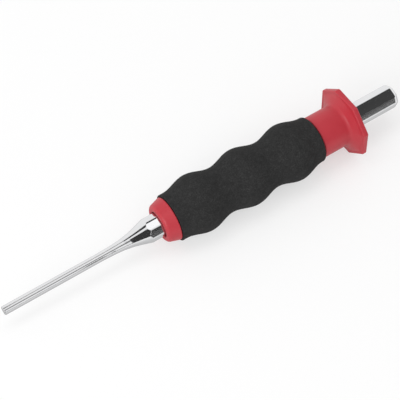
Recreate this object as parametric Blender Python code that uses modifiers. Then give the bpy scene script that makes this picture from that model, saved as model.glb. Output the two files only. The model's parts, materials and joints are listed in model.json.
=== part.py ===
"""Pin punch with a moulded sheath and a foam grip.

Lengths are in metres and +Z is up. The tool lies along X with its pin toward -X and its struck head
toward +X, and one flat of the sheath's hand guard rests on Z = 0 under the middle of its length.
"""

import math

import bmesh
import bpy

# Punch: one piece of octagonal bar, turned down to a cone, a neck and a parallel pin
PIN_DIAMETER = 0.0030
PIN_LENGTH = 0.03535
PIN_CHAMFER = 0.0002
NECK_LENGTH = 0.00915
NECK_DIAMETER = 0.0037
NECK_START_RADIUS = 0.080
NECK_END_RADIUS = 0.036
CONE_HALF_ANGLE = math.radians(16.9)
BAR_FLATS = 0.0080
BAR_SHOWN = 0.00374
BAR_TURN = math.radians(16.0)
HEAD_LENGTH = 0.01915
HEAD_ROUNDING = 0.0017

# Sheath: one moulding with a nose collar, a recessed seat for the grip, a tube and a hand guard
NOSE_DIAMETER = 0.0128
NOSE_RADIUS = 0.00145
COLLAR_LENGTH = 0.00476
COLLAR_DIAMETER = 0.0155
SEAT_DIAMETER = 0.0120
TUBE_DIAMETER = 0.0148
TUBE_LENGTH = 0.0122
SHOULDER_RADIUS = 0.0004
HUB_RISE = 0.0017
HUB_DIAMETER = 0.0212
HUB_ROOT_RADIUS = 0.0015
GUARD_FLATS = 0.0236
GUARD_THICKNESS = 0.00187
GUARD_EDGE = 0.0005
BORE_CHAMFER = 0.0003

# Grip: a foam sleeve with a finger swell for each wave
GRIP_LENGTH = 0.05562
GRIP_NECK_DIAMETER = 0.01645
GRIP_SWELL_DIAMETER = 0.02025
GRIP_FRONT_NECK = 0.0014
GRIP_REAR_NECK = 0.00085
GRIP_END_RADIUS = 0.0004
SWELLS = 3

# Clearance between pieces that touch, and how far a cutter stands clear of what it cuts
FIT_GAP = 0.0003
CUT_MARGIN = 0.0005

# Resolution of round shapes
ROUND_STEPS = 48
SWELL_STEPS = 12
ARC_STEP = math.radians(12.0)
LEAST_ARC_STEPS = 3
HEAD_SEGMENTS = 7
GUARD_SEGMENTS = 2
END_EDGES_ABOVE = math.radians(60.0)
ALL_EDGES_ABOVE = math.radians(30.0)
SMOOTH_BELOW = math.radians(14.0)
WELD_BELOW = 0.00001

# Stations along the tool, measured from the end of the pin
OCTAGON = 8
HALF_FACE = math.pi / OCTAGON
BAR_CORNER = BAR_FLATS / 2 / math.cos(HALF_FACE)
BLANK_RADIUS = BAR_CORNER + CUT_MARGIN
NECK_END = PIN_LENGTH + NECK_LENGTH
CONE_SLOPE = math.tan(CONE_HALF_ANGLE)
BAR_START = NECK_END + (BAR_CORNER - NECK_DIAMETER / 2) / CONE_SLOPE
NOSE = BAR_START + BAR_SHOWN
GRIP_FRONT = NOSE + COLLAR_LENGTH
GRIP_REAR = GRIP_FRONT + GRIP_LENGTH
GUARD_FRONT = GRIP_REAR + TUBE_LENGTH
GUARD_REAR = GUARD_FRONT + GUARD_THICKNESS
HEAD = GUARD_REAR + HEAD_LENGTH
AXIS_HEIGHT = GUARD_FLATS / 2


def clear_scene():
    for obj in list(bpy.data.objects):
        bpy.data.objects.remove(obj)


def new_collection(name):
    collection = bpy.data.collections.new(name)
    bpy.context.scene.collection.children.link(collection)
    return collection


def new_material(name, colour, roughness, metallic=0.0):
    """A Principled material whose colour is linear RGB."""
    material = bpy.data.materials.new(name)
    material.use_nodes = True
    shader = material.node_tree.nodes["Principled BSDF"]
    shader.inputs["Base Color"].default_value = (*colour, 1.0)
    shader.inputs["Roughness"].default_value = roughness
    shader.inputs["Metallic"].default_value = metallic
    return material


def rounded(corners):
    """The profile through (radius, station, rounding) corners, each rounding drawn as an arc."""
    points = [corners[0][:2]]
    for before, corner, after in zip(corners, corners[1:], corners[2:]):
        points += corner_arc(before[:2], corner[:2], after[:2], corner[2])
    return [*points, corners[-1][:2]]


def corner_arc(before, corner, after, radius):
    """Points of the arc that rounds one corner of a profile, or the corner itself if it is sharp."""
    to_before = math.atan2(before[1] - corner[1], before[0] - corner[0])
    to_after = math.atan2(after[1] - corner[1], after[0] - corner[0])
    opening = (to_after - to_before + math.pi) % (2 * math.pi) - math.pi
    turn = math.pi - abs(opening)
    if radius == 0 or turn == 0:
        return [corner]
    reach = radius / math.sin(abs(opening) / 2)
    middle = to_before + opening / 2
    centre = (corner[0] + reach * math.cos(middle), corner[1] + reach * math.sin(middle))
    steps = max(LEAST_ARC_STEPS, math.ceil(turn / ARC_STEP))
    sweep = math.copysign(turn, opening)
    angles = [middle + math.pi + sweep * (0.5 - step / steps) for step in range(steps + 1)]
    return [(centre[0] + radius * math.cos(a), centre[1] + radius * math.sin(a)) for a in angles]


def turned(name, profile, collection, axis, closed=False):
    """A body turned about its own Z from (radius, station) points that run from head to pin outside."""
    mesh = bpy.data.meshes.new(name)
    edges = [(i, i + 1) for i in range(len(profile) - 1)]
    if closed:
        edges.append((len(profile) - 1, 0))
    mesh.from_pydata([(radius, 0.0, station) for radius, station in profile], edges, [])
    obj = bpy.data.objects.new(name, mesh)
    collection.objects.link(obj)
    obj.parent = axis
    screw = obj.modifiers.new("turn", "SCREW")
    screw.steps = ROUND_STEPS
    screw.render_steps = ROUND_STEPS
    screw.use_merge_vertices = True
    screw.merge_threshold = WELD_BELOW
    return obj


def octagon_bar(name, flats, start, end, turn, collection, axis):
    """An octagonal bar from one station to another, a flat facing down when its turn is 0."""
    mesh = bpy.data.meshes.new(name)
    shape = bmesh.new()
    corner = flats / 2 / math.cos(HALF_FACE)
    bmesh.ops.create_cone(
        shape, cap_ends=True, segments=OCTAGON, radius1=corner, radius2=corner, depth=end - start
    )
    shape.to_mesh(mesh)
    shape.free()
    obj = bpy.data.objects.new(name, mesh)
    collection.objects.link(obj)
    obj.parent = axis
    obj.location.z = (start + end) / 2
    obj.rotation_euler.z = HALF_FACE + turn
    return obj


def round_edges(obj, radius, segments, above):
    """Rounds the edges at which the surface turns by more than an angle."""
    edge = obj.modifiers.new("edge", "BEVEL")
    edge.width = radius
    edge.segments = segments
    edge.limit_method = "ANGLE"
    edge.angle_limit = above


def as_helper(obj):
    obj.hide_render = True
    obj.display_type = "WIRE"
    return obj


def combine(obj, operation, other):
    boolean = obj.modifiers.new(operation.lower(), "BOOLEAN")
    boolean.operation = operation
    boolean.object = other
    boolean.solver = "EXACT"


def finish(obj, material):
    """Makes what the modifiers give the object's own mesh, smooth but for its sharp edges."""
    bpy.context.view_layer.update()
    graph = bpy.context.evaluated_depsgraph_get()
    mesh = bpy.data.meshes.new_from_object(obj.evaluated_get(graph))
    obj.modifiers.clear()
    obj.data = mesh
    mesh.shade_smooth()
    mesh.set_sharp_from_angle(angle=SMOOTH_BELOW)
    mesh.materials.clear()
    mesh.materials.append(material)


def make_punch(parts, cutters, axis):
    """The turned blank kept inside an octagonal bar, so that the cone scallops its flats."""
    pin_radius = PIN_DIAMETER / 2
    neck_radius = NECK_DIAMETER / 2
    blank_end = HEAD + CUT_MARGIN
    blank = rounded(
        [
            (0.0, blank_end, 0.0),
            (BLANK_RADIUS, blank_end, 0.0),
            (BLANK_RADIUS, NECK_END + (BLANK_RADIUS - neck_radius) / CONE_SLOPE, 0.0),
            (neck_radius, NECK_END, NECK_END_RADIUS),
            (pin_radius, PIN_LENGTH, NECK_START_RADIUS),
            (pin_radius, PIN_CHAMFER, 0.0),
            (pin_radius - PIN_CHAMFER, 0.0, 0.0),
            (0.0, 0.0, 0.0),
        ]
    )
    punch = turned("punch", blank, parts, axis)
    bar = octagon_bar("bar_outline", BAR_FLATS, -CUT_MARGIN, HEAD, BAR_TURN, cutters, axis)
    round_edges(bar, HEAD_ROUNDING, HEAD_SEGMENTS, END_EDGES_ABOVE)
    combine(punch, "INTERSECT", as_helper(bar))
    finish(punch, new_material("chrome plate", (0.72, 0.73, 0.75), 0.08, 1.0))


def make_sheath(parts, cutters, axis):
    """The turned moulding joined to its octagonal guard and bored through for the bar."""
    hub_radius = HUB_DIAMETER / 2
    tube_radius = TUBE_DIAMETER / 2
    seat_radius = SEAT_DIAMETER / 2
    hub_inside = GUARD_FRONT + GUARD_THICKNESS / 2
    rear_shoulder = GRIP_REAR + FIT_GAP
    front_shoulder = GRIP_FRONT - FIT_GAP
    body = rounded(
        [
            (0.0, hub_inside, 0.0),
            (hub_radius, hub_inside, 0.0),
            (hub_radius, GUARD_FRONT, 0.0),
            (tube_radius, GUARD_FRONT - HUB_RISE, HUB_ROOT_RADIUS),
            (tube_radius, rear_shoulder, SHOULDER_RADIUS),
            (seat_radius, rear_shoulder, 0.0),
            (seat_radius, front_shoulder, 0.0),
            (COLLAR_DIAMETER / 2, front_shoulder, SHOULDER_RADIUS),
            (NOSE_DIAMETER / 2, NOSE, NOSE_RADIUS),
            (0.0, NOSE, 0.0),
        ]
    )
    sheath = turned("sheath", body, parts, axis)
    guard = octagon_bar("guard_plate", GUARD_FLATS, GUARD_FRONT, GUARD_REAR, 0.0, cutters, axis)
    round_edges(guard, GUARD_EDGE, GUARD_SEGMENTS, ALL_EDGES_ABOVE)
    combine(sheath, "UNION", as_helper(guard))

    bore_radius = BAR_CORNER + FIT_GAP
    mouth_radius = bore_radius + BORE_CHAMFER + CUT_MARGIN
    bore = rounded(
        [
            (0.0, GUARD_REAR + CUT_MARGIN, 0.0),
            (mouth_radius, GUARD_REAR + CUT_MARGIN, 0.0),
            (bore_radius, GUARD_REAR - BORE_CHAMFER, 0.0),
            (bore_radius, NOSE + BORE_CHAMFER, 0.0),
            (mouth_radius, NOSE - CUT_MARGIN, 0.0),
            (0.0, NOSE - CUT_MARGIN, 0.0),
        ]
    )
    combine(sheath, "DIFFERENCE", as_helper(turned("sheath_bore", bore, cutters, axis)))
    finish(sheath, new_material("red moulded plastic", (0.46, 0.035, 0.045), 0.38))


def swell_radius(station):
    """Radius of the grip between its two necks: one raised cosine for each swell."""
    neck = GRIP_NECK_DIAMETER / 2
    rise = GRIP_SWELL_DIAMETER / 2 - neck
    start = GRIP_FRONT + GRIP_FRONT_NECK
    pitch = (GRIP_LENGTH - GRIP_FRONT_NECK - GRIP_REAR_NECK) / SWELLS
    return neck + rise * (1 - math.cos(2 * math.pi * (station - start) / pitch)) / 2


def make_foam_grip(parts, axis):
    """The sleeve between the sheath's shoulders."""
    neck = GRIP_NECK_DIAMETER / 2
    bore = SEAT_DIAMETER / 2 + FIT_GAP
    wave_front = GRIP_FRONT + GRIP_FRONT_NECK
    wave_rear = GRIP_REAR - GRIP_REAR_NECK
    steps = SWELLS * SWELL_STEPS
    stations = [wave_rear + (wave_front - wave_rear) * step / steps for step in range(steps + 1)]
    rear_lip = (neck, GRIP_REAR, GRIP_END_RADIUS)
    front_lip = (neck, GRIP_FRONT, GRIP_END_RADIUS)
    rear_end = rounded([(bore, GRIP_REAR, 0.0), rear_lip, (neck, wave_rear, 0.0)])
    swells = [(swell_radius(station), station) for station in stations]
    front_end = rounded([(neck, wave_front, 0.0), front_lip, (bore, GRIP_FRONT, 0.0)])
    sleeve = [*rear_end[:-1], *swells, *front_end[1:]]
    grip = turned("foam_grip", sleeve, parts, axis, closed=True)
    finish(grip, new_material("black foam", (0.034, 0.034, 0.035), 0.9))


def main():
    clear_scene()
    parts = new_collection("pin punch")
    cutters = new_collection("cutters")
    axis = bpy.data.objects.new("tool_axis", None)
    parts.objects.link(axis)
    axis.location = (-HEAD / 2, 0.0, AXIS_HEIGHT)
    axis.rotation_euler.y = math.pi / 2
    make_punch(parts, cutters, axis)
    make_sheath(parts, cutters, axis)
    make_foam_grip(parts, axis)
    print(f"tool length {HEAD * 1000:.2f} mm, axis {AXIS_HEIGHT * 1000:.2f} mm above the guard's flat")


main()
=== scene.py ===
# %% [markdown]
# # A pin punch with a foam grip
#
# A pin punch drives a pin out of its hole. This one has three pieces: a chromed steel bar, a red
# moulded sheath pressed onto the bar, and a black foam sleeve stretched over the sheath. The CAD
# model already says where each piece lies and how big it is. This lesson gives the pieces their fine
# surface, their finishes, and the light of a product picture, one small step in each cell.

# %% Load the CAD model as the frame
import json
import math

import bpy
import numpy as np
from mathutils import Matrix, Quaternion, Vector, noise

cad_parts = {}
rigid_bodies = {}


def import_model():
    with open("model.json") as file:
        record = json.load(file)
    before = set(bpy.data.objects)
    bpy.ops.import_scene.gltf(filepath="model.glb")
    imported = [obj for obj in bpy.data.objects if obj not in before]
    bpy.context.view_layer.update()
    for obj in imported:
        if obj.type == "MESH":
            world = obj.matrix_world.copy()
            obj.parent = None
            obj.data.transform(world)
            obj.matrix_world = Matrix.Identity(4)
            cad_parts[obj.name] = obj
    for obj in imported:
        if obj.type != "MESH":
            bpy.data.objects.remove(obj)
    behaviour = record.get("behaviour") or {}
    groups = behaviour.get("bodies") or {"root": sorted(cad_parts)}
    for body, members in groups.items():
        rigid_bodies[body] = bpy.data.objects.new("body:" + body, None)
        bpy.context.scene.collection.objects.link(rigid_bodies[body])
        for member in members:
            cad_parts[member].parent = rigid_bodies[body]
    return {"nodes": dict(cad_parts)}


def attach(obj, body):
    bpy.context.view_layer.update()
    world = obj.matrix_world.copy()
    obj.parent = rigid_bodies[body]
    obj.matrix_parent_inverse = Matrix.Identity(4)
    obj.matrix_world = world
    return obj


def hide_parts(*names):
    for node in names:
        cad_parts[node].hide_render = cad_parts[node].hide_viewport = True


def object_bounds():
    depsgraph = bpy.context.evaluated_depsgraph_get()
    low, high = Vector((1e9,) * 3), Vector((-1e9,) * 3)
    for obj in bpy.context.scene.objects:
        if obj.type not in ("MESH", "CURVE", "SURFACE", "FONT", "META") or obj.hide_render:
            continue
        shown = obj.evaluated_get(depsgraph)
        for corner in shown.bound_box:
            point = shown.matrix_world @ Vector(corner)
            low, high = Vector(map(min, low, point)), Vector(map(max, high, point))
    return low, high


for leftover in list(bpy.data.objects):
    bpy.data.objects.remove(leftover)

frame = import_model()
cad_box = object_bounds()
print("CAD pieces:", ", ".join(sorted(frame["nodes"])))

# %% [markdown]
# ## The axis that everything turns about
#
# The whole tool is turned or moulded about one straight line. A point on it is easiest to give as a
# lathe hand would: how far along from the end of the pin (its station), how far out (its radius), and
# how far round (its angle). The tool's sizes are in millimetres, as on a drawing, and `place` turns them
# into metres. Angle 0 points to +Y and a quarter turn points up. What stands round the tool, such as the
# camera, the lights and the cards, is placed in metres.

# %% Stations, radii and angles
MM = 0.001
PIN_END = cad_box[0].x
AXIS_HEIGHT = (cad_box[0].z + cad_box[1].z) / 2
LENGTH = (cad_box[1].x - cad_box[0].x) / MM


def place(station, radius, angle):
    """World points, in metres, for stations, radii and angles that numpy can combine."""
    station, radius, angle = np.broadcast_arrays(station, radius, angle)
    x = PIN_END + MM * station
    y = MM * radius * np.cos(angle)
    z = AXIS_HEIGHT + MM * radius * np.sin(angle)
    return np.stack([x, y, z], axis=-1)


print(f"the axis is {LENGTH:.1f} mm long and {AXIS_HEIGHT / MM:.2f} mm up")

# %% [markdown]
# ## Profiles with rounded corners
#
# A turned or moulded piece has no knife edges: each corner of its profile has a small radius, and that
# radius is what catches the light. A Bevel modifier could round the finished mesh, but it can't be
# told a different radius for each corner. So the arcs go into the profile itself. A point is also put
# close to each end of an arc, because smooth shading would otherwise spread the arc's bend over the
# straight part beside it.

# %% Draw a profile from its corners
ARC_STEP = math.radians(7.5)
LEAST_ARC_STEPS = 3
BESIDE_ARC = 0.12


def rounded_line(corners):
    """Points of a profile whose corners are (station, radius, rounding)."""
    spots = [np.array(corner[:2]) for corner in corners]
    line = [spots[0]]
    for before, here, after, corner in zip(spots, spots[1:], spots[2:], corners[1:]):
        rounding = corner[2]
        if rounding == 0:
            line.append(here)
            continue
        back = (before - here) / np.linalg.norm(before - here)
        ahead = (after - here) / np.linalg.norm(after - here)
        half = math.acos(np.clip(back @ ahead, -1, 1)) / 2
        reach = rounding / math.tan(half)
        centre = here + (back + ahead) / np.linalg.norm(back + ahead) * rounding / math.sin(half)
        first = here + back * reach - centre
        last = here + ahead * reach - centre
        sweep = math.pi - 2 * half
        steps = max(LEAST_ARC_STEPS, math.ceil(sweep / ARC_STEP))
        line.append(here + back * (reach + min(BESIDE_ARC, rounding)))
        for step in range(steps + 1):
            turn = sweep * step / steps
            spoke = math.sin(sweep - turn) * first + math.sin(turn) * last
            line.append(centre + spoke / math.sin(sweep))
        line.append(here + ahead * (reach + min(BESIDE_ARC, rounding)))
    return [*line, spots[-1]]


def divided(line, longest):
    """The same profile with no step longer than `longest` allows at its station."""
    points = [line[0]]
    for start, end in zip(line, line[1:]):
        allowed = min(longest(start[0]), longest(end[0]))
        steps = max(1, math.ceil(np.linalg.norm(end - start) / allowed))
        points += [start + (end - start) * step / steps for step in range(1, steps + 1)]
    return np.array(points)


print(f"an arc is drawn in steps of {math.degrees(ARC_STEP):.1f} degrees or less")

# %% [markdown]
# ## From rings to a closed skin
#
# Each profile point becomes a ring of points round the axis, and neighbouring rings are joined by
# quads. A Screw modifier would do this for a plain turned piece, but here the rings are not all
# circles: the bar and the hand guard are octagons. With the rings in numpy, any ring can have any
# outline. A sleeve's profile is a loop, so its last ring joins its first. A solid bar is closed by a
# fan of triangles at each end.

# %% Wrap rings into a mesh
def wrap(name, rings, loop):
    """A smooth closed mesh object through an array of rings, rings x columns x 3."""
    count, columns, _ = rings.shape
    points = rings.reshape(-1, 3).tolist()
    column = np.arange(columns)
    following = (column + 1) % columns
    faces = []
    for ring in range(count if loop else count - 1):
        near = ring * columns
        far = (ring + 1) % count * columns
        faces += np.stack([near + column, near + following, far + following, far + column], 1).tolist()
    if not loop:
        for ring, order in ((0, (1, 0)), (count - 1, (0, 1))):
            middle = len(points)
            points.append(rings[ring].mean(axis=0).tolist())
            pair = (ring * columns + column, ring * columns + following)
            hub = np.full(columns, middle)
            faces += np.stack([pair[order[0]], pair[order[1]], hub], 1).tolist()
    mesh = bpy.data.meshes.new(name)
    mesh.from_pydata(points, [], faces)
    mesh.shade_smooth()
    piece = bpy.data.objects.new(name, mesh)
    bpy.context.scene.collection.objects.link(piece)
    print(f"{name}: {len(points)} points, {len(faces)} faces")
    return piece


print("rings become quads, and the two ends of a solid become fans")

# %% [markdown]
# ## Octagons with soft corners
#
# The steel starts as octagonal bar, and the hand guard is moulded with eight sides so that the tool
# doesn't roll off the bench. Seen from the axis, a flat lies at its apothem divided by the cosine of
# the angle from its middle, and a rounded corner is a small circle. The columns of points are crowded
# at the corners, where the surface turns, and spread over the flats, where it doesn't.

# %% Octagon outline and its columns
SIDES = 8
SIDE_ANGLE = 2 * math.pi / SIDES


def octagon(angles, flats, turn, rounding):
    """Radius at each angle of an octagon with rounded corners, a flat facing `turn`."""
    half = SIDE_ANGLE / 2
    off = np.abs((angles - turn + half) % SIDE_ANGLE - half)
    apothem = flats / 2
    centre = (apothem - rounding) / math.cos(half)
    beside = np.sin(half - off) * centre
    corner = np.cos(half - off) * centre + np.sqrt(np.maximum(rounding**2 - beside**2, 0))
    tangent = np.arctan((apothem - rounding) * math.tan(half) / apothem)
    return np.where(off <= tangent, apothem / np.cos(off), corner)


def corner_columns(turn, offsets):
    """Angles round the axis, at these offsets in degrees on both sides of each corner."""
    corners = turn + SIDE_ANGLE * (np.arange(SIDES) + 0.5)
    both = np.unique(np.radians(np.concatenate([offsets, -np.array(offsets[:-1])])))
    return (corners[:, None] + both[None, :]).ravel()


print(f"each flat of an octagon covers {math.degrees(SIDE_ANGLE):.0f} degrees")

# %% [markdown]
# ## The camera
#
# The picture is taken from above the bench, from the pin's side, with a long lens: the pin comes a
# little toward the camera and the head goes away. A long lens keeps the three swells almost the same
# size. The camera is rolled a few degrees, which sets how steeply the tool crosses the picture. Moving
# it sideways, without turning it, sets where the tool sits in the frame, so the lens needs no shift.

# %% Set up the camera
CAMERA_AZIMUTH = math.radians(-30.4)
CAMERA_ELEVATION = math.radians(55.9)
CAMERA_ROLL = math.radians(-3.16)
CAMERA_DISTANCE = 0.445
FOCAL_PIXELS = 1376.5
PICTURE_PIXELS = 400
MIDDLE_AT = (207.05, 197.65)

level = math.cos(CAMERA_ELEVATION)
away = Vector(
    (
        math.sin(CAMERA_AZIMUTH) * level,
        -math.cos(CAMERA_AZIMUTH) * level,
        math.sin(CAMERA_ELEVATION),
    )
)
lens = bpy.data.cameras.new("long lens")
lens.sensor_width = 36.0
lens.lens = FOCAL_PIXELS * lens.sensor_width / PICTURE_PIXELS
lens.clip_start = 0.01
lens.dof.use_dof = False
camera = bpy.data.objects.new("camera", lens)
bpy.context.scene.collection.objects.link(camera)
camera.rotation_mode = "QUATERNION"
level_turn = (-away).to_track_quat("-Z", "Y")
camera.rotation_quaternion = level_turn @ Quaternion((0, 0, 1), CAMERA_ROLL)
pixel = CAMERA_DISTANCE / FOCAL_PIXELS
aside = Vector((PICTURE_PIXELS / 2 - MIDDLE_AT[0], MIDDLE_AT[1] - PICTURE_PIXELS / 2, 0)) * pixel
middle = Vector((0, 0, AXIS_HEIGHT))
camera.location = middle + away * CAMERA_DISTANCE + camera.rotation_quaternion @ aside
bpy.context.scene.camera = camera
print(f"lens {lens.lens:.1f} mm, one pixel is {pixel / MM:.3f} mm at the tool")

# %% [markdown]
# ## Shader sums that read as sums
#
# A material is a tree of nodes, and its maths is easier to follow as an expression. `Wire` holds one
# output of a node and answers to +, -, * and /, from either side, and to > and <, by adding a Math
# node.

# %% A wire
class Wire:
    """One output socket of a finish."""

    def __init__(self, finish, socket):
        self.finish = finish
        self.socket = socket

    def math(self, operation, first, second):
        return self.finish.node("ShaderNodeMath", {"operation": operation}, {0: first, 1: second})

    def __add__(self, other):
        return self.math("ADD", self, other)

    def __radd__(self, other):
        return self.math("ADD", other, self)

    def __sub__(self, other):
        return self.math("SUBTRACT", self, other)

    def __rsub__(self, other):
        return self.math("SUBTRACT", other, self)

    def __mul__(self, other):
        return self.math("MULTIPLY", self, other)

    def __rmul__(self, other):
        return self.math("MULTIPLY", other, self)

    def __truediv__(self, other):
        return self.math("DIVIDE", self, other)

    def __rtruediv__(self, other):
        return self.math("DIVIDE", other, self)

    def __gt__(self, other):
        return self.math("GREATER_THAN", self, other)

    def __lt__(self, other):
        return self.math("LESS_THAN", self, other)


print("wires add, subtract, multiply, divide and compare")

# %% [markdown]
# ## A finish and its nodes
#
# `Finish` holds the node tree of a material or of the world. Its one method, `node`, makes any kind of
# node: first its settings, then the values or wires of its sockets. The other methods only put a name
# to what the finishes below use often: where a point is, clouds of noise, a blend of two colours, a
# bump, and the kind of ray that meets the surface.

# %% A finish
class Finish:
    """A node tree of a material or of the world."""

    def __init__(self, owner):
        owner.use_nodes = True
        self.owner = owner
        self.tree = owner.node_tree

    def node(self, kind, settings, sockets, out=0):
        """Adds a node and returns the wire of one of its outputs."""
        made = self.tree.nodes.new(kind)
        for name, value in settings.items():
            setattr(made, name, value)
        self.join(made, sockets)
        return Wire(self, made.outputs[out])

    def join(self, node, sockets):
        """Gives each named or numbered input its value or its wire."""
        for name, value in sockets.items():
            if isinstance(value, Wire):
                self.tree.links.new(value.socket, node.inputs[name])
            else:
                node.inputs[name].default_value = value

    def coords(self):
        """Points of the piece in its own space, in metres."""
        return self.node("ShaderNodeTexCoord", {}, {}, "Object")

    def stretched(self, scale):
        """The piece's points with each axis scaled, for a grain that runs one way."""
        return self.node("ShaderNodeVectorMath", {"operation": "MULTIPLY"}, {0: self.coords(), 1: scale})

    def length(self, scale):
        """How far a point is from the piece's origin, with each axis scaled."""
        point = {0: self.stretched(scale)}
        return self.node("ShaderNodeVectorMath", {"operation": "LENGTH"}, point, "Value")

    def clouds(self, vector, scale, detail=2.0):
        """Smooth noise from 0 to 1."""
        sockets = {"Vector": vector, "Scale": scale, "Detail": detail}
        return self.node("ShaderNodeTexNoise", {}, sockets, "Fac")

    def blend(self, share, first, second):
        """A colour between two colours."""
        colours = {"data_type": "RGBA", "clamp_factor": True}
        return self.node("ShaderNodeMix", colours, {0: share, 6: first, 7: second}, 2)

    def bump(self, height, strength, distance):
        """A normal bent by a height, at most `distance` metres deep."""
        sockets = {"Height": height, "Strength": strength, "Distance": distance}
        return self.node("ShaderNodeBump", {}, sockets, "Normal")

    def ray(self, kind):
        """1 on rays of one kind, such as Camera or Glossy, and 0 on all others."""
        return self.node("ShaderNodeLightPath", {}, {}, f"Is {kind} Ray")


def new_finish(name):
    """A finish on a new material, and its Principled shader."""
    finish = Finish(bpy.data.materials.new(name))
    return finish, finish.tree.nodes["Principled BSDF"]


def grey(shade):
    """A colour with no hue."""
    return (shade, shade, shade, 1.0)


WHITE = grey(1.0)
print("a finish makes nodes and joins them with wires")

# %% [markdown]
# ## Chrome plate
#
# The bar is ground, polished along its length and plated with bright chrome. Chrome has almost no
# colour of its own: what it shows is the room. What makes it steel, and not a mirror, is the polish:
# hair-fine lines along the flats, rings where the cone and the pin were turned, and a haze that varies
# over the surface. The two end faces are ground but not polished, so they are duller. Noise that is
# stretched along one axis gives lines, and the lines go to roughness and a very low bump.

# %% Chrome plate
TURNED_UNTIL = 51.0
END_SKIN = 0.05
ALONG_BAR = (40.0, 6000.0, 6000.0)
ROUND_BAR = (5500.0, 60.0, 60.0)
HAZY_CHROME = (0.735, 0.74, 0.755, 1.0)
CLEAR_CHROME = (0.80, 0.80, 0.805, 1.0)
GROUND_STEEL = (0.50, 0.50, 0.51, 1.0)
POLISH_DEPTH = 0.00001


def chrome_plate():
    """Bright chrome over ground steel, with turning rings on the pin and the cone."""
    finish, shader = new_finish("chrome plate")
    along = finish.node("ShaderNodeSeparateXYZ", {}, {"Vector": finish.coords()}, "X")
    turned = along < PIN_END + MM * TURNED_UNTIL
    end_face = (along * along) > (PIN_END + MM * END_SKIN) ** 2
    drawn_lines = finish.clouds(finish.stretched(ALONG_BAR), 1.0, 3.0)
    turned_rings = finish.clouds(finish.stretched(ROUND_BAR), 1.0, 2.0)
    lines = turned_rings * turned + drawn_lines * (1 - turned)
    haze = finish.clouds(finish.coords(), 260.0, 3.0)
    bright = finish.blend(haze, HAZY_CHROME, CLEAR_CHROME)
    finish.join(
        shader,
        {
            "Base Color": finish.blend(end_face * 0.6, bright, GROUND_STEEL),
            "Roughness": 0.035 + lines * 0.05 + haze * 0.05 + end_face * 0.22,
            "Metallic": 1.0,
            "Normal": finish.bump(lines * 0.6 + haze * 0.4, 0.10, POLISH_DEPTH),
        },
    )
    return finish.owner


chrome = chrome_plate()
print("made", chrome.name)

# %% [markdown]
# ## The steel punch
#
# The real piece is one length of octagonal bar. A lathe turns its front to a parallel pin, a slight
# neck and a cone, and the edge of the struck end is ground round. So in front the shape is the smaller
# of two, the turned profile and the octagon. A Boolean would give that exactly, with long thin faces
# where the cone runs out on the flats. Taking the lesser radius at each point of a ring gives the same
# scallops on an even grid, and a soft minimum leaves them with the slight edge that polishing does. At
# the struck end each ring is the octagon again, drawn in by as much as the rounding asks.

# %% Turned profile and rounded end of the punch
PIN_RADIUS = 1.5
PIN_CHAMFER = 0.2
NECK_START = 35.35
NECK_END = 44.5
NECK_RADIUS = 1.85
CONE_SLOPE = math.tan(math.radians(16.9))
BLANK_RADIUS = 4.8
BAR_FLATS = 8.0
HEAD_ROUNDING = 1.7
HEAD_START = LENGTH - 2 * HEAD_ROUNDING
FAN_RADIUS = 0.4
SCALLOPS = (50.6, 53.0)
SCALLOP_STEP = 0.06
HIDDEN = (56.0, 130.0)
HIDDEN_STEP = 6.0
SHOWN_STEP = 1.0


def punch_step(station):
    """Longest step along the bar: fine at the scallops, coarse where the bar is hidden."""
    if SCALLOPS[0] <= station <= SCALLOPS[1]:
        return SCALLOP_STEP
    if HIDDEN[0] <= station <= HIDDEN[1]:
        return HIDDEN_STEP
    return SHOWN_STEP


turned_corners = [
    (0.0, FAN_RADIUS, 0.0),
    (0.0, PIN_RADIUS - PIN_CHAMFER, 0.06),
    (PIN_CHAMFER, PIN_RADIUS, 0.12),
    (NECK_START, PIN_RADIUS, 80.0),
    (NECK_END, NECK_RADIUS, 36.0),
    *[(at, NECK_RADIUS + (at - NECK_END) * CONE_SLOPE, 0.0) for at in SCALLOPS],
    (NECK_END + (BLANK_RADIUS - NECK_RADIUS) / CONE_SLOPE, BLANK_RADIUS, 0.0),
    (HEAD_START, BLANK_RADIUS, 0.0),
]
inset_corners = [
    (HEAD_START, 0.0, 0.0),
    (LENGTH, 0.0, HEAD_ROUNDING),
    (LENGTH, BAR_FLATS / 2 - FAN_RADIUS, 0.0),
]
turned_line = divided(rounded_line(turned_corners), punch_step)
inset_line = divided(rounded_line(inset_corners), punch_step)[1:]
print(f"{len(turned_line)} rings along the bar, {len(inset_line)} at the struck end")

# %% Build the steel punch
BAR_TURN = math.radians(16.0)
BAR_ROUNDING = 1.6
SOFT_EDGE = 0.025
BY_BAR_CORNERS = [*np.linspace(0.0, 8.6, 13), 9.6, 12.0, 15.0, 18.5, 22.5]

punch_station = np.concatenate([turned_line[:, 0:1], inset_line[:, 0:1]])
turned_radius = np.concatenate([turned_line[:, 1:2], np.full((len(inset_line), 1), BLANK_RADIUS)])
inset = np.concatenate([np.zeros((len(turned_line), 1)), inset_line[:, 1:2]])
bar_angles = corner_columns(BAR_TURN, BY_BAR_CORNERS)[None, :]
bar_corner = np.maximum(BAR_ROUNDING - inset, 0)
bar_radius = octagon(bar_angles, BAR_FLATS - 2 * inset, BAR_TURN, bar_corner)
overlap = np.maximum(SOFT_EDGE - np.abs(turned_radius - bar_radius), 0) / SOFT_EDGE
punch_radius = np.minimum(turned_radius, bar_radius) - overlap**2 * SOFT_EDGE / 4
punch = wrap("steel_punch", place(punch_station, punch_radius, bar_angles), loop=False)
punch.data.materials.append(chrome)
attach(punch, "root")
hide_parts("punch")

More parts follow.
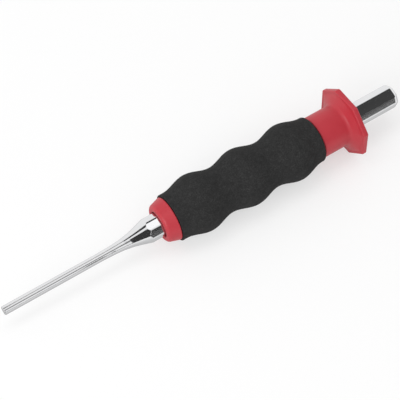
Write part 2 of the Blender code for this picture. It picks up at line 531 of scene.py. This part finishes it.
# %% [markdown]
# ## Red moulded plastic
#
# The sheath is a tough coloured plastic with a satin skin, because the mould is spark finished. It has
# a broad gloss, a faint mottle where the colour and the flow differ, and a grain that only shows as
# sparkle along the edges of the highlights. Subsurface light could be added for a milky plastic, but
# this one is strongly coloured and opaque, so plain colour and a soft gloss are closer.

# %% Red moulded plastic
DEEP_RED = (0.47, 0.021, 0.036, 1.0)
CLEAR_RED = (0.535, 0.031, 0.047, 1.0)
DULL_RED = (0.50, 0.035, 0.051, 1.0)
SPARK_DEPTH = 0.00002


def red_moulded():
    """Satin red plastic from a spark-finished mould."""
    finish, shader = new_finish("red moulded plastic")
    flow = finish.clouds(finish.coords(), 150.0, 3.0)
    mottle = finish.clouds(finish.coords(), 900.0, 2.0)
    grain = finish.clouds(finish.coords(), 3800.0, 2.0)
    flowed = finish.blend(flow, DEEP_RED, CLEAR_RED)
    finish.join(
        shader,
        {
            "Base Color": finish.blend(mottle * 0.5, flowed, DULL_RED),
            "Roughness": 0.36 + grain * 0.10 + flow * 0.06,
            "Normal": finish.bump(grain * 0.7 + mottle * 0.3, 0.25, SPARK_DEPTH),
        },
    )
    return finish.owner


red = red_moulded()
print("made", red.name)

# %% [markdown]
# ## The sheath
#
# The sheath is one moulding: a nose collar, a recessed seat that the foam grips, a tube, and a guard
# that keeps a missed hammer blow off the hand. Its profile is a loop that runs back along the bore, so
# it is really hollow. From the hub outward the rings change from circles to the guard's octagon. The
# amount of octagon grows with the radius, which leaves the soft bowl at the root of the guard round.

# %% Profile of the sheath
NOSE = 56.4
GRIP_FRONT = 61.16
GRIP_REAR = 116.78
GUARD_FRONT = 128.98
GUARD_REAR = 130.85
SHOULDER_GAP = 0.3
NOSE_RADIUS = 6.4
COLLAR_RADIUS = 7.75
TUBE_RADIUS = 7.4
SEAT_RADIUS = 6.0
HUB_RADIUS = 10.6
HUB_START = 127.28
GUARD_FLATS = 23.6
RIM_RADIUS = GUARD_FLATS / 2
BORE_RADIUS = 4.45
MOUTH = 0.35
REAR_MOUTH = 0.15
SEAT_STEP = 8.0
MOULDED_STEP = 0.8

sheath_corners = [
    (NOSE + MOUTH, BORE_RADIUS, 0.0),
    (NOSE, BORE_RADIUS + MOUTH, 0.12),
    (NOSE, NOSE_RADIUS, 1.45),
    (GRIP_FRONT - SHOULDER_GAP, COLLAR_RADIUS, 0.35),
    (GRIP_FRONT - SHOULDER_GAP, SEAT_RADIUS, 0.0),
    (GRIP_REAR + SHOULDER_GAP, SEAT_RADIUS, 0.0),
    (GRIP_REAR + SHOULDER_GAP, TUBE_RADIUS, 0.4),
    (HUB_START, TUBE_RADIUS, 1.5),
    (GUARD_FRONT, HUB_RADIUS, 0.8),
    (GUARD_FRONT, RIM_RADIUS, 0.45),
    (GUARD_REAR, RIM_RADIUS, 0.5),
    (GUARD_REAR, BORE_RADIUS + REAR_MOUTH, 0.06),
    (GUARD_REAR - REAR_MOUTH, BORE_RADIUS, 0.0),
    (NOSE + 2 * MOUTH, BORE_RADIUS, 0.0),
]


def sheath_step(station):
    """Longest step along the sheath: coarse where the foam hides it."""
    return SEAT_STEP if GRIP_FRONT < station < GRIP_REAR else MOULDED_STEP


sheath_line = divided(rounded_line(sheath_corners), sheath_step)
print(f"{len(sheath_line)} rings out along the sheath and back along its bore")

# %% Build the sheath
GUARD_CORNER = 0.7
ROUND_WITHIN = 9.4
OCTAGON_BEYOND = 11.2
BY_GUARD_CORNERS = [0.0, 0.35, 0.7, 1.05, 1.5, 2.2, 4.0, 7.0, 11.0, 15.0, 19.0, 22.5]

guard_angles = corner_columns(0.0, BY_GUARD_CORNERS)[None, :]
guard_radius = octagon(guard_angles, GUARD_FLATS, 0.0, GUARD_CORNER)
sheath_station = sheath_line[:, 0:1]
turned_sheath = sheath_line[:, 1:2]
outward = np.clip((turned_sheath - ROUND_WITHIN) / (OCTAGON_BEYOND - ROUND_WITHIN), 0, 1)
octagonal = outward * outward * (3 - 2 * outward)
sheath_radius = turned_sheath + octagonal * (guard_radius - RIM_RADIUS)
sheath = wrap("red_sheath", place(sheath_station, sheath_radius, guard_angles), loop=True)
sheath.data.materials.append(red)
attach(sheath, "root")
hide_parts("sheath")

# %% [markdown]
# ## Black foam
#
# The grip is closed-cell foam, ground to shape, so its skin is cut through the cells: matt, very dark,
# and speckled with pits a fraction of a millimetre across. Voronoi cells give the pits: their walls
# stand a little proud in the bump, and the colour is painted darker in the hollows and lighter on the
# walls, as shade falls, mixed half and half with a random speckle. Small clouds gather the pits in
# clusters, and broad ones keep the whole from looking even.

# %% Black foam
SHADED_PIT = grey(0.005)
CELL_WALL = grey(0.056)
CLUSTER = grey(0.012)
PIT_DEPTH = 0.00008


def black_foam():
    """Ground closed-cell foam: matt, dark and finely pitted."""
    finish, shader = new_finish("black foam")
    pits = {"Vector": finish.coords(), "Scale": 2600.0}
    cells = finish.node("ShaderNodeTexVoronoi", {"feature": "F1"}, pits, "Distance")
    dust = finish.clouds(finish.coords(), 1700.0, 3.0)
    clusters = finish.clouds(finish.coords(), 560.0, 2.0)
    broad = finish.clouds(finish.coords(), 130.0, 2.0)
    # painted shade in the pits: darker colour in the cell hollows, lighter on the walls, half random dust
    # speckle
    speckle_and_pit_shade = finish.blend(cells * 0.5 + dust * 0.5, SHADED_PIT, CELL_WALL)
    finish.join(
        shader,
        {
            "Base Color": finish.blend(broad * 0.3 + clusters * 0.9 - 0.35, speckle_and_pit_shade, CLUSTER),
            "Roughness": 0.88 + dust * 0.10,
            "Specular IOR Level": 0.25,
            "Normal": finish.bump(cells * 0.7 + dust * 0.3, 0.5, PIT_DEPTH),
        },
    )
    return finish.owner


foam = black_foam()
print("made", foam.name)

# %% [markdown]
# ## The foam sleeve
#
# Three fingers close round the grip, and each has its own swell. A swell is one wave of a cosine, so
# the sleeve is a row of them between two short necks, with soft ends. Cloth simulation is the usual way
# to make something soft, but this piece has no cover that could stretch or crease: it is ground from
# solid foam and keeps its form. So its form is made directly, and then each point of its outside is
# moved out or in by a few hundredths of a millimetre, because foam gives under the grinding wheel and
# is never quite round.

# %% Profile of the foam sleeve
GRIP_NECK = 8.22
GRIP_SWELL = 10.12
GRIP_BORE = 6.1
FRONT_NECK = 1.4
REAR_NECK = 0.85
LIP_REACH = 0.2
BORE_SETBACK = 0.3
SWELLS = 3
WAVE_POINTS = 180
FRONT_ROUNDING = 0.15
REAR_ROUNDING = 0.6
SLEEVE_STEP = 0.35
WAVE_FRONT = GRIP_FRONT + FRONT_NECK
WAVE_REAR = GRIP_REAR - REAR_NECK
LIP_FRONT = GRIP_FRONT - LIP_REACH
BORE_FRONT = GRIP_FRONT + BORE_SETBACK

wave_at = np.linspace(WAVE_FRONT, WAVE_REAR, WAVE_POINTS)
wave = (wave_at - WAVE_FRONT) / (WAVE_REAR - WAVE_FRONT) * SWELLS
wave_radius = GRIP_NECK + (GRIP_SWELL - GRIP_NECK) * (1 - np.cos(2 * math.pi * wave)) / 2
front_lip = rounded_line(
    [(LIP_FRONT, GRIP_BORE, 0.0), (LIP_FRONT, GRIP_NECK, FRONT_ROUNDING), (WAVE_FRONT, GRIP_NECK, 0.0)]
)
rear_lip = rounded_line(
    [(WAVE_REAR, GRIP_NECK, 0.0), (GRIP_REAR, GRIP_NECK, REAR_ROUNDING), (GRIP_REAR, GRIP_BORE, 0.0)]
)
outside = [*front_lip[:-1], *np.stack([wave_at, wave_radius], 1), *rear_lip[1:]]
sleeve_line = divided([*outside, np.array([BORE_FRONT, GRIP_BORE])], lambda station: SLEEVE_STEP)
print(f"{len(sleeve_line)} rings for {SWELLS} swells and the bore")

# %% Build the foam sleeve
ROUND_COLUMNS = 240
BORE_MARGIN = 0.3
BROAD_SCALE = 140.0
BROAD_ERROR = 0.06
FINE_SCALE = 900.0
FINE_ERROR = 0.02


def ground_by(point):
    """How far the wheel left this point from true, in millimetres, from a point in metres."""
    broad = noise.noise(Vector(point) * BROAD_SCALE)
    fine = noise.noise(Vector(point) * FINE_SCALE)
    return BROAD_ERROR * broad + FINE_ERROR * fine


sleeve_angles = np.linspace(0, 2 * math.pi, ROUND_COLUMNS, endpoint=False)[None, :]
sleeve_station = sleeve_line[:, 0:1]
true_radius = sleeve_line[:, 1:2]
true_points = place(sleeve_station, true_radius, sleeve_angles)
off_true = np.array([ground_by(point) for point in true_points.reshape(-1, 3)])
ground = true_radius > GRIP_BORE + BORE_MARGIN
sleeve_radius = true_radius + ground * off_true.reshape(true_points.shape[:2])
sleeve = wrap("foam_sleeve", place(sleeve_station, sleeve_radius, sleeve_angles), loop=True)
sleeve.data.materials.append(foam)
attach(sleeve, "root")
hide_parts("foam_grip")

# %% [markdown]
# ## The bench
#
# The tool lies on a pale sheet. On a real bench it touches at two places, the guard's flat and the
# front swell, so the sheet is tipped by the small angle that meets both. That keeps the CAD frame
# straight and still lets the shadow start where the tool touches.

# %% Lay the pale sheet
SHEET_SIZE = 3.0
BELOW_GUARD = 0.02
RIM_EDGE = 0.5
GUARD_TOUCH = GUARD_FRONT + RIM_EDGE
SWELL_TOUCH = WAVE_FRONT + (WAVE_REAR - WAVE_FRONT) / SWELLS / 2

half_sheet = SHEET_SIZE / 2
sheet_corners = [(x * half_sheet, y * half_sheet, 0) for x, y in ((-1, -1), (1, -1), (1, 1), (-1, 1))]
sheet_mesh = bpy.data.meshes.new("pale_sheet")
sheet_mesh.from_pydata(sheet_corners, [], [(0, 1, 2, 3)])
sheet = bpy.data.objects.new("pale_sheet", sheet_mesh)
bpy.context.scene.collection.objects.link(sheet)
sheet.location = (PIN_END + MM * GUARD_TOUCH, 0, -MM * BELOW_GUARD)
sheet.rotation_euler.y = math.atan((RIM_RADIUS - GRIP_SWELL) / (GUARD_TOUCH - SWELL_TOUCH))
print(f"the sheet is tipped {math.degrees(sheet.rotation_euler.y):.2f} degrees")

# %% [markdown]
# ## Paper that fades to white
#
# In a product picture the paper runs out into plain white, and only a trace of shadow is left under
# the tool. More light would do that too, but it would bleach the tool. So the paper is a plain matt
# white, and for the camera a white glow is mixed in: half of it by the guard, where the shadow is
# deepest, and more of it further away. A reflection shows the glow alone, but for a painted shade
# close under the tool: there the paper glows a set grey, seen only in reflections, which stands in for
# the tool's own shade, so that the lower flats of the bar come out darker.

# %% Pale paper
SHADOW_KEPT = 0.5
SHADOW_FADE = 12.0
TOOL_ASPECT = (0.3, 1.0, 1.0)
ACROSS = (0.0, 1.0, 0.0)
# painted shade: the grey that reflections show on the paper close under the tool, and how far it reaches
PAINTED_SHADE_GREY = 0.57
PAINTED_SHADE_REACH = 0.045
DULL_FIBRE = grey(0.955)
PALE_FIBRE = grey(0.972)


def pale_paper():
    """Matt paper that glows white where it is seen, with a painted shade, a grey glow, under the tool in
    reflections.
    """
    finish, shader = new_finish("pale paper")
    fibre = finish.clouds(finish.coords(), 900.0, 3.0)
    finish.join(
        shader,
        {
            "Base Color": finish.blend(fibre, DULL_FIBRE, PALE_FIBRE),
            "Roughness": 0.9,
            "Specular IOR Level": 0.1,
        },
    )
    bare = 1 - SHADOW_KEPT / (1 + finish.length(TOOL_ASPECT) * SHADOW_FADE)
    # painted shade: a grey glow under the tool, fading to white across it, seen only by glossy rays
    fade = {"Value": finish.length(ACROSS), "From Max": PAINTED_SHADE_REACH, "To Min": 1.0, "To Max": 0.0}
    painted_shade_share = finish.node("ShaderNodeMapRange", {}, fade)
    glow = finish.node("ShaderNodeEmission", {}, {"Color": WHITE})
    shade = finish.node("ShaderNodeEmission", {}, {"Color": grey(PAINTED_SHADE_GREY)})
    shown = finish.node("ShaderNodeMixShader", {}, {0: painted_shade_share * finish.ray("Glossy"), 1: glow, 2: shade})
    seen = bare * finish.ray("Camera") + finish.ray("Glossy") + finish.ray("Transmission")
    lit = Wire(finish, shader.outputs["BSDF"])
    surface = finish.node("ShaderNodeMixShader", {}, {0: seen, 1: lit, 2: shown})
    finish.join(finish.tree.nodes["Material Output"], {"Surface": surface})
    return finish.owner


paper = pale_paper()
sheet_mesh.materials.append(paper)
print("made", paper.name)

# %% [markdown]
# ## The room
#
# A product picture is lit from all round, by a pale room. The room is plain white where the camera or
# a shiny surface sees it, and a little dimmer as a light, so that the colours stay as written.

# %% White room
ROOM_LIGHT = 0.68

world = bpy.data.worlds.new("white room")
bpy.context.scene.world = world
room = Finish(world)
seen = room.ray("Camera") + room.ray("Glossy") + room.ray("Transmission")
strength = ROOM_LIGHT + seen * (1 - ROOM_LIGHT)
room.join(room.tree.nodes["Background"], {"Color": WHITE, "Strength": strength})
print("the room gives", ROOM_LIGHT, "as a light and 1 where it is seen")

# %% [markdown]
# ## Soft boxes
#
# Three soft boxes add shape to the room's even light: a long one overhead for the swells and the guard,
# a large one on the pin's side for the collar and the front of the guard, and a small faint one whose
# reflection lifts one flat of the bar to full white. The long one is kept out of reflections, because
# it would draw a hard white bar along the chrome.

# %% Hang the soft boxes
def soft_box(name, spot, aim, size, radiance):
    """A rectangular light of a given brightness, at `spot`, facing `aim`."""
    light = bpy.data.lights.new(name, "AREA")
    light.shape = "RECTANGLE"
    light.size, light.size_y = size
    light.energy = radiance * math.pi * size[0] * size[1]
    box = bpy.data.objects.new(name, light)
    bpy.context.scene.collection.objects.link(box)
    box.location = spot
    box.rotation_mode = "QUATERNION"
    box.rotation_quaternion = (Vector(aim) - Vector(spot)).to_track_quat("-Z", "Y")
    box.visible_camera = False
    print(f"{name}: {light.energy:.2f} W")
    return box


overhead = soft_box("overhead soft box", (-0.13, 0.06, 0.5), (-0.13, 0.06, 0), (0.64, 0.19), 1.6)
overhead.visible_glossy = False
soft_box("pin side soft box", (-0.70, -0.30, 0.45), (0, 0, 0.01), (0.45, 0.45), 4.2)
soft_box("bar soft box", (0.103, -0.014, 0.49), (0.103, -0.014, 0), (0.08, 0.12), 0.25)

# %% [markdown]
# ## Cards for the chrome
#
# In an all-white room chrome would look like paper, so dark cards stand round it to paint its
# reflections. Each card glows with a set grey and is seen in reflections only: it blocks and gives no
# light, and each lays a dark band or line on one flat, the cone or the pin. Each is a part of a wide
# barrel round the tool, so a card is given by its reach along X and the angles that it covers.

# %% Cut a card
BARREL = 0.22
CARD_STEPS = 24
MOTTLE = 0.15
BLACK = grey(0.0)


def painted_reflection_board(shade):
    """A board that glows one shade of grey, a painted reflection, with a faint mottle."""
    finish, shader = new_finish(f"card {shade}")
    mottle = finish.clouds(finish.coords(), 40.0, 2.0)
    emitted = finish.blend(mottle, grey(shade * (1 - MOTTLE)), grey(shade * (1 + MOTTLE)))
    finish.join(
        shader,
        {
            "Base Color": BLACK,
            "Roughness": 1.0,
            "Specular IOR Level": 0.0,
            "Emission Color": emitted,
            "Emission Strength": 1.0,
        },
    )
    return finish.owner


def card(name, board, reach, angles):
    """A curved card from one X to another, between two angles in degrees, seen in reflections only."""
    turns = np.radians(np.linspace(*angles, CARD_STEPS + 1))
    rows = [[(x, BARREL * math.cos(a), AXIS_HEIGHT + BARREL * math.sin(a)) for a in turns] for x in reach]
    second = CARD_STEPS + 1
    faces = [(k, k + 1, second + k + 1, second + k) for k in range(CARD_STEPS)]
    mesh = bpy.data.meshes.new(name)
    mesh.from_pydata([*rows[0], *rows[1]], [], faces)
    mesh.materials.append(board)
    made = bpy.data.objects.new(name, mesh)
    bpy.context.scene.collection.objects.link(made)
    made.visible_camera = False
    made.visible_diffuse = False
    made.visible_transmission = False
    made.visible_shadow = False


print(f"cards stand {BARREL / MM:.0f} mm from the axis")

# %% Stand the cards
# painted reflections: glowing cards that lay the dark bands and lines on the chrome
deep = painted_reflection_board(0.045)
dim = painted_reflection_board(0.06)
dark = painted_reflection_board(0.09)
slate = painted_reflection_board(0.18)
card("cone_card", deep, (-0.3, -0.056), (105, 182.5))
card("cone_line_card", deep, (-0.3, -0.045), (62, 84))
card("bar_line_card", deep, (0.018, 0.085), (50, 87))
card("bar_card", dim, (0.018, 0.085), (130, 183))
card("head_card", dim, (0.085, 0.3), (64, 182.7))
card("pin_patch_card", dark, (-0.0045, 0.008), (152, 172))
card("pin_far_line", slate, (-0.056, 0.018), (65, 77))
card("pin_top_line", slate, (-0.056, 0.018), (118, 137))
card("pin_near_line", slate, (-0.056, 0.018), (174, 183))
print("nine cards, seen only in reflections")

# %% [markdown]
# ## Colours as written
#
# The Standard view leaves colours as the materials give them.

# %% Finish
bpy.context.scene.view_settings.view_transform = "Standard"
